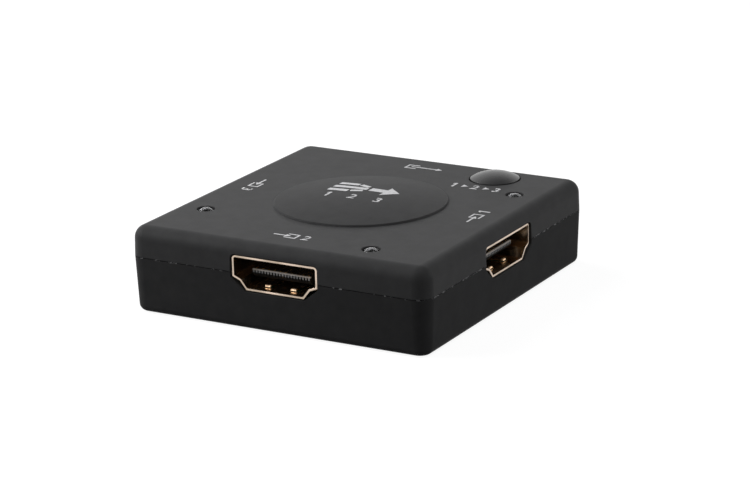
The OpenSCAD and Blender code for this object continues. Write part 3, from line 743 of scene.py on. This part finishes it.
def add_lamps():
    """Lens of each lamp, with a cup, two posts and a bridge inside its clear resin."""
    for name in ("lamp_1", "lamp_2", "lamp_3"):
        low, high = (Vector(corner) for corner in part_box(name + "_leads"))
        foot = Vector(((low.x + high.x) / 2, (low.y + high.y) / 2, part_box(name)[0][2]))
        add_lamp_lens(name, foot)
        apart = Vector((high.x - low.x, high.y - low.y, 0)) / 2
        along = Vector((1, 0, 0)) if apart.x > apart.y else Vector((0, 1, 0))
        offset = along * (max(apart.x, apart.y) - POST_HALF * MM)
        work = bmesh.new()
        add_lathe(work, CUP_SECTION, foot)
        square = (POST_HALF, POST_HALF)
        add_post(work, foot - offset, square, POST_FOOT, SHORT_POST_TOP)
        add_post(work, foot + offset, square, POST_FOOT, LONG_POST_TOP)
        bridge = BRIDGE_HALF if along.x else BRIDGE_HALF[::-1]
        add_post(work, foot - offset * BRIDGE_SHIFT, bridge, *BRIDGE_LEVELS)
        finish_turned(work, name + "_frame", "tinned_metal")


def add_snap_dome():
    """Thin sprung cap that the switch's plunger presses flat."""
    node, joint = "tact_switch_dome", "plunger_press"
    low, high = (Vector(corner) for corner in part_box(node))
    foot = Vector(((low.x + high.x) / 2, (low.y + high.y) / 2, low.z))
    half, height = (high.x - low.x) / 2 / MM, (high.z - low.z) / MM
    outer = (half ** 2 + height ** 2) / (2 * height)
    inner = outer - SNAP_SHEET
    level = height - outer
    section = []
    for radius, way in ((inner, 1), (outer, -1)):
        slope = math.acos(-level / radius)
        steps = [slope * step / SNAP_STEPS for step in range(SNAP_STEPS + 1)]
        section += [(radius * math.sin(angle), level + radius * math.cos(angle)) for angle in steps[::way]]
    work = bmesh.new()
    add_lathe(work, section, foot)
    piece = finish_turned(work, "switch_snap_dome", "tinned_metal")
    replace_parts(piece, node)
    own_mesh(piece)


def direction(azimuth, elevation):
    """Unit vector from the object; azimuth 0 is in front of it and turns to its right."""
    return Vector((
        math.sin(azimuth) * math.cos(elevation),
        -math.cos(azimuth) * math.cos(elevation),
        math.sin(elevation),
    ))


def look_from(azimuth, elevation, roll):
    """Camera axes as a rotation: right, up and back."""
    back = direction(azimuth, elevation)
    right = UP.cross(back).normalized()
    up = back.cross(right)
    turned_right = math.cos(roll) * right + math.sin(roll) * up
    turned_up = -math.sin(roll) * right + math.cos(roll) * up
    return Matrix((turned_right, turned_up, back)).transposed()


def add_camera():
    """Camera at the photograph's place and angle."""
    data = bpy.data.cameras.new("camera")
    data.sensor_fit = "HORIZONTAL"
    data.sensor_width = SENSOR_WIDTH
    data.lens = FOCAL_PIXELS * SENSOR_WIDTH / PHOTO_WIDTH
    data.clip_start = CLIP_START
    camera = bpy.data.objects.new("camera", data)
    turn = look_from(CAMERA_AZIMUTH, CAMERA_ELEVATION, CAMERA_ROLL)
    place = CAMERA_TARGET + turn.col[2] * CAMERA_DISTANCE
    camera.matrix_world = Matrix.Translation(place) @ turn.to_4x4()
    bpy.context.scene.collection.objects.link(camera)
    bpy.context.scene.camera = camera


def seen_directly(tree):
    """1 for rays from the camera, from gloss and through glass, and 0 for the rest."""
    path = tree.nodes.new("ShaderNodeLightPath").outputs
    mirrored = calculate(tree, "MAXIMUM", path["Is Glossy Ray"], path["Is Transmission Ray"])
    return calculate(tree, "MAXIMUM", path["Is Camera Ray"], mirrored)


def add_floor():
    """Pale floor that reads as white and still takes the object's soft shadow."""
    mesh = bpy.data.meshes.new("floor")
    corners = [(-1, -1), (1, -1), (1, 1), (-1, 1)]
    mesh.from_pydata([(x * FLOOR_HALF, y * FLOOR_HALF, -FLOOR_DROP) for x, y in corners], [], [(0, 1, 2, 3)])
    floor = bpy.data.objects.new("floor", mesh)
    bpy.context.scene.collection.objects.link(floor)
    material, tree, shader = new_material("floor_paper")
    paper = noise(tree, scale=300.0)
    tint = ramp(tree, paper, [(0.3, grey(FLOOR_GREY)), (0.7, grey(FLOOR_GREY * FLOOR_MOTTLE))])
    link(tree, tint, shader.inputs["Base Color"])
    shader.inputs["Roughness"].default_value = 1.0
    shader.inputs["Specular IOR Level"].default_value = 0.0
    shader.inputs["Emission Color"].default_value = OPAQUE_WHITE
    lift = calculate(tree, "MULTIPLY", seen_directly(tree), FLOOR_LIFT)
    link(tree, lift, shader.inputs["Emission Strength"])
    mesh.materials.append(material)


def white_background(tree):
    """White background shader."""
    node = tree.nodes.new("ShaderNodeBackground")
    node.inputs["Color"].default_value = OPAQUE_WHITE
    return node


def add_world():
    """White backdrop for what is seen, dark on one side overhead in reflections, and a low fill light."""
    world = bpy.data.worlds.new("studio")
    bpy.context.scene.world = world
    world.use_nodes = True
    tree = world.node_tree
    tree.nodes.clear()
    output = tree.nodes.new("ShaderNodeOutputWorld")
    seen, fill = white_background(tree), white_background(tree)
    fill.inputs["Strength"].default_value = WORLD_FILL
    near_dark = tree.nodes.new("ShaderNodeVectorMath")
    near_dark.operation = "DOT_PRODUCT"
    link(tree, tree.nodes.new("ShaderNodeTexCoord").outputs["Generated"], near_dark.inputs[0])
    near_dark.inputs[1].default_value = direction(DARK_AZIMUTH, DARK_ELEVATION)
    backdrop = fall(tree, near_dark.outputs["Value"], *BACKDROP_FADE)
    is_camera = tree.nodes.new("ShaderNodeLightPath").outputs["Is Camera Ray"]
    link(tree, calculate(tree, "MAXIMUM", is_camera, backdrop), seen.inputs["Strength"])
    mix = tree.nodes.new("ShaderNodeMixShader")
    link(tree, seen_directly(tree), mix.inputs["Fac"])
    link(tree, fill.outputs[0], mix.inputs[1])
    link(tree, seen.outputs[0], mix.inputs[2])
    link(tree, mix.outputs[0], output.inputs["Surface"])


def add_softbox(name, azimuth, elevation, distance, width, watts, in_gloss):
    """Square soft light that faces the object's foot."""
    data = bpy.data.lights.new(name, "AREA")
    data.shape = "SQUARE"
    data.size = width
    data.energy = watts
    lamp = bpy.data.objects.new(name, data)
    away = direction(math.radians(azimuth), math.radians(elevation))
    lamp.location = away * distance
    lamp.rotation_euler = (-away).to_track_quat("-Z", "Y").to_euler()
    lamp.visible_glossy = in_gloss
    bpy.context.scene.collection.objects.link(lamp)


dress_cad_nodes()
add_marks()
add_lamps()
add_snap_dome()
add_camera()
add_floor()
add_world()
for softbox in SOFTBOXES:
    add_softbox(*softbox)
bpy.context.scene.view_settings.view_transform = "Standard"
